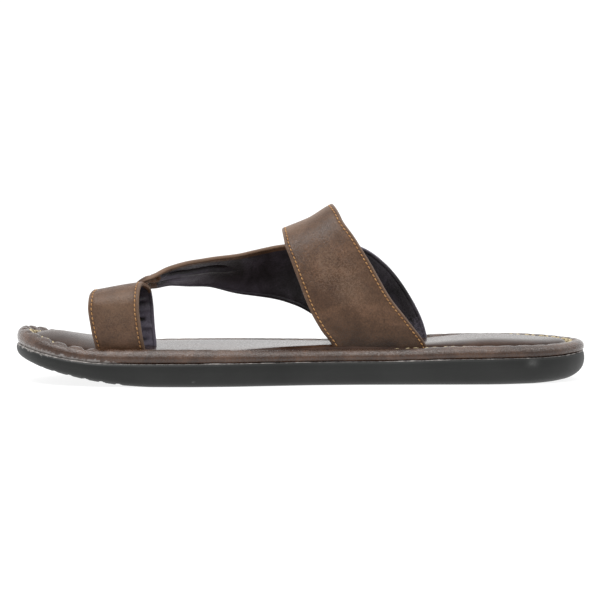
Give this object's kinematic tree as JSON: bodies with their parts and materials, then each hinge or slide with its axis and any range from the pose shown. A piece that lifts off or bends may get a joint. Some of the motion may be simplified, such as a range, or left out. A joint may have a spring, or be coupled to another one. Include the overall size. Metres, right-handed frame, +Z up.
{
  "type": "toe-loop slide sandal",
  "caption": "Slip-on house slipper with a loop round the big toe, a strap from the loop to the little-toe side, a wide instep strap, padded rim and rubber-like sole.",
  "frame": {"origin": "on the floor, under the middle of the sole's box", "axes": "+X from the toe towards the heel, +Y towards the little-toe side, +Z up"},
  "size_m": [0.285, 0.097, 0.088],
  "materials": {
    "outsole_polyurethane": "matte moulded, charcoal",
    "rim_faux_leather": "soft satin, brown",
    "footbed_faux_leather": "smooth, semi-gloss dark brown",
    "upper_faux_leather": "waxy satin brown, black lining, orange-tan stitching"
  },
  "bodies": {
    "root": {"outsole": "outsole_polyurethane", "rim": "rim_faux_leather", "footbed": "footbed_faux_leather", "upper": "upper_faux_leather"}
  },
  "joints": []
}
